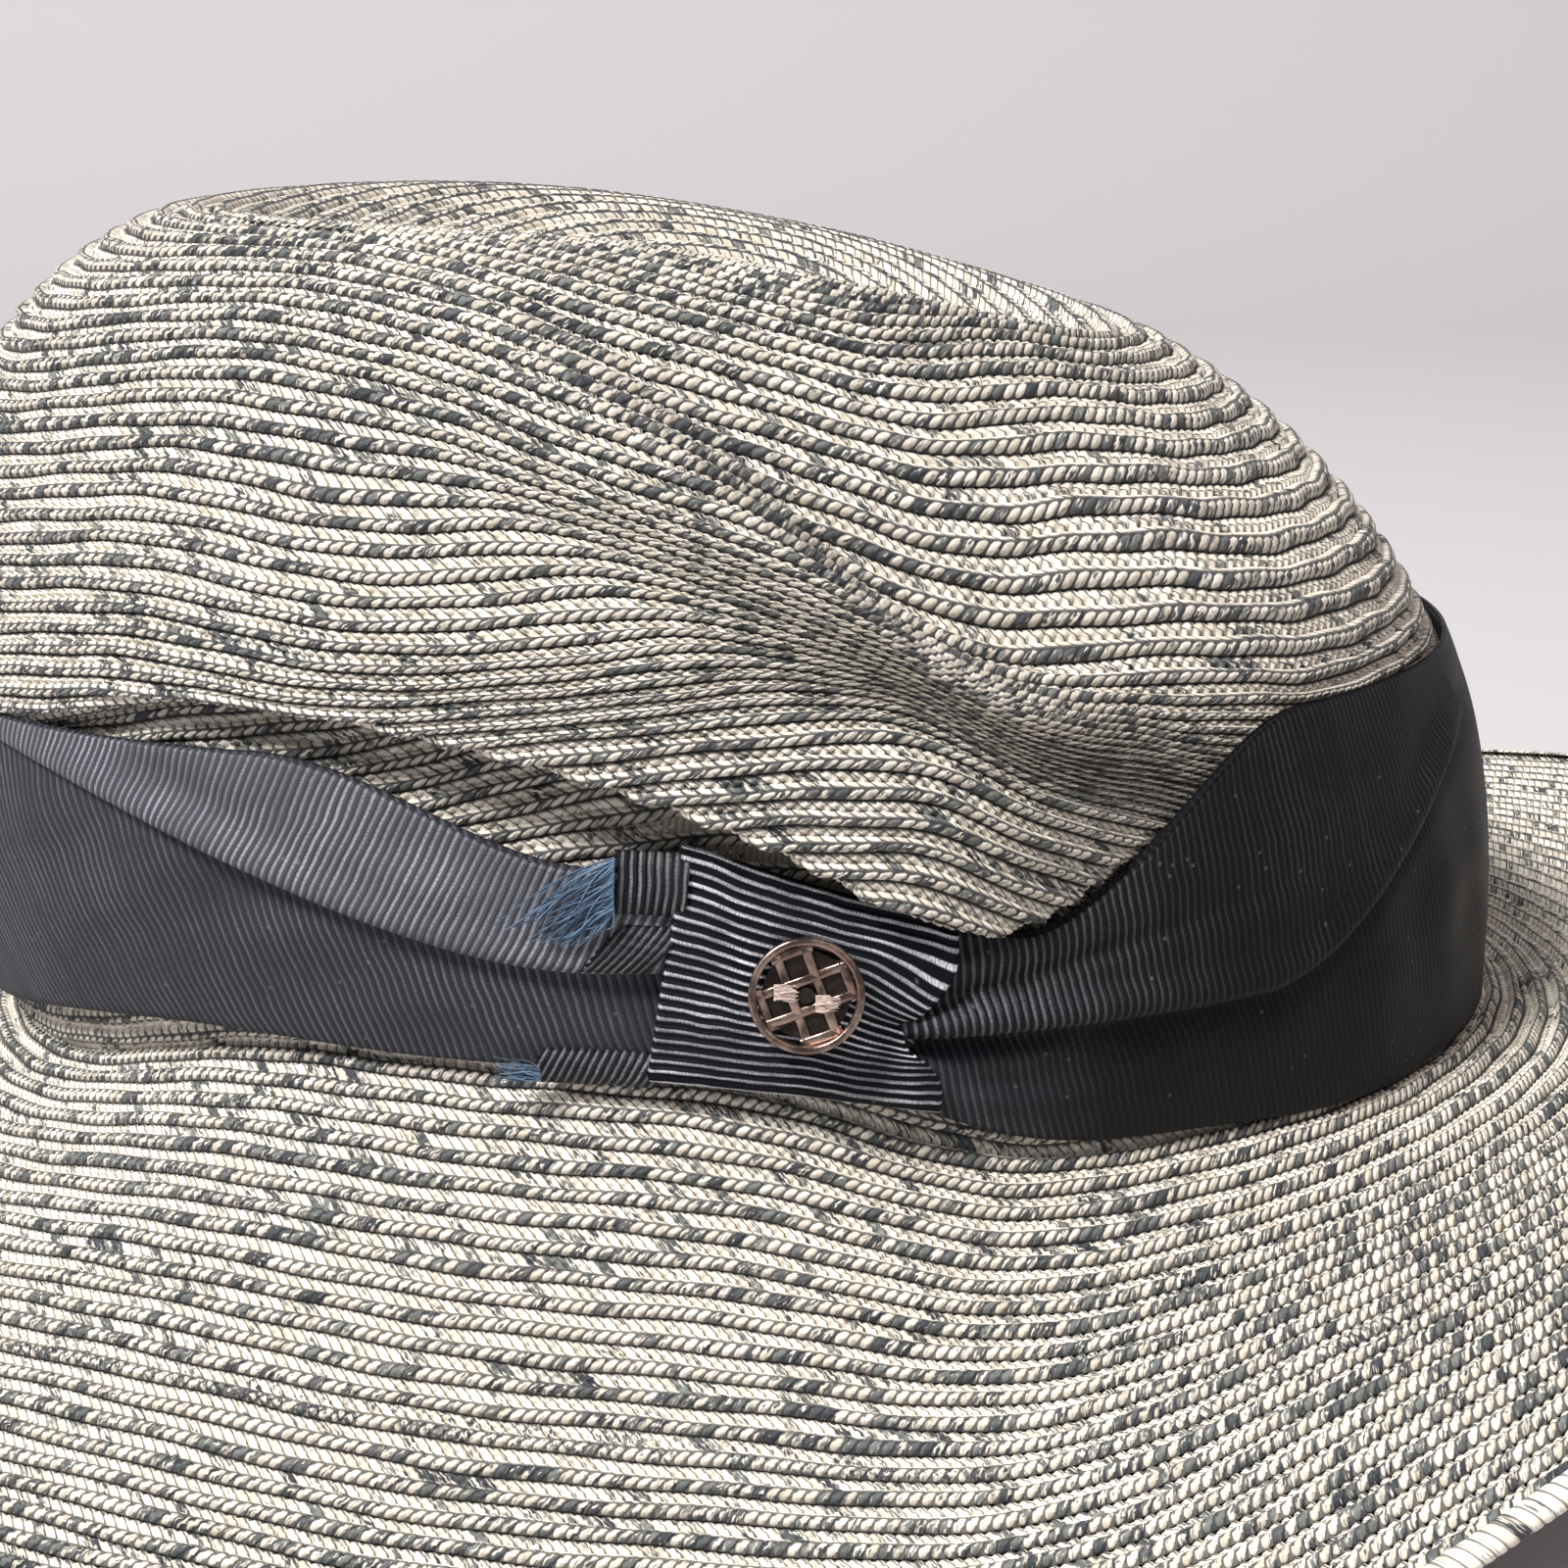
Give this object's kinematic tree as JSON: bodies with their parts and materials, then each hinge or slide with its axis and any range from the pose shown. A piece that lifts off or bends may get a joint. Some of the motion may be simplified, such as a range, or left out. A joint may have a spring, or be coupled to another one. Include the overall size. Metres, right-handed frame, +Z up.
{
  "type": "panama hat",
  "caption": "Sewn-braid sun hat with a creased crown, a gathered grosgrain band with a bow wrap, a small openwork metal button and a wavy brim",
  "frame": {"origin": "Middle of the hat's own box, on the surface that the hat stands on by its brim", "axes": "+Z up through the crown, -X towards the wearer's front, -Y towards the wearer's left, which is the trimmed side"},
  "size_m": [0.3622, 0.3203, 0.146],
  "materials": {
    "braid": "marled cream and blue-black sewn cord braid",
    "grosgrain": "navy-black ribbed grosgrain ribbon",
    "thread": "loose frayed ribbon yarns",
    "sweatband": "soft dark twill tape",
    "label": "blank woven label",
    "metal": "polished dark rose bronze"
  },
  "bodies": {
    "root": {"crown_side": "braid", "crown_tip": "braid", "crown_start_coil": "braid", "brim_braid": "braid", "brim_edge_row": "braid", "sweatband": "sweatband", "sweatband_join": "sweatband", "blank_label": "label", "hatband": "grosgrain", "hatband_fold_left": "grosgrain", "hatband_fold_right": "grosgrain", "bow_wrap": "grosgrain", "ribbon_end_upper": "grosgrain", "ribbon_end_lower": "grosgrain", "frayed_threads_upper": "thread", "frayed_threads_lower": "thread", "button_rim": "metal", "button_openwork_disc": "metal", "button_stitch_left": "thread", "button_stitch_right": "thread", "button_shank": "metal", "button_back_plate": "metal"}
  },
  "joints": []
}
